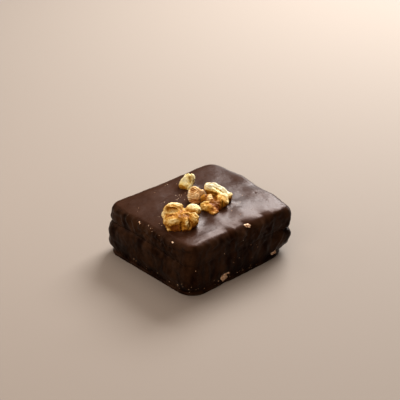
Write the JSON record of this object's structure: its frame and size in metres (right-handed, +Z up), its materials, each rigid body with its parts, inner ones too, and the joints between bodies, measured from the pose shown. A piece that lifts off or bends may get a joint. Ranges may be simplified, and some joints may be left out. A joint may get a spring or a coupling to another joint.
{
  "type": "no-bake biscuit cake",
  "caption": "Small rectangular no-bake biscuit cake of two pressed layers, coated all over in dark chocolate and topped with broken walnut pieces",
  "frame": {"origin": "middle of the bounding box in plan, on the flat underside that the cake rests on", "axes": "+Y along the longer plan side, +X along the shorter plan side, +Z up"},
  "size_m": [0.0544, 0.0622, 0.0307],
  "materials": {
    "dark_chocolate": "satin dark chocolate coating, set by hand dipping",
    "walnut_kernel": "dry broken walnut kernel, cream to golden brown"
  },
  "bodies": {
    "root": {"coated_cake": "dark_chocolate", "walnut_front": "walnut_kernel", "walnut_crumb": "walnut_kernel", "walnut_middle": "walnut_kernel", "walnut_right": "walnut_kernel"}
  },
  "joints": []
}
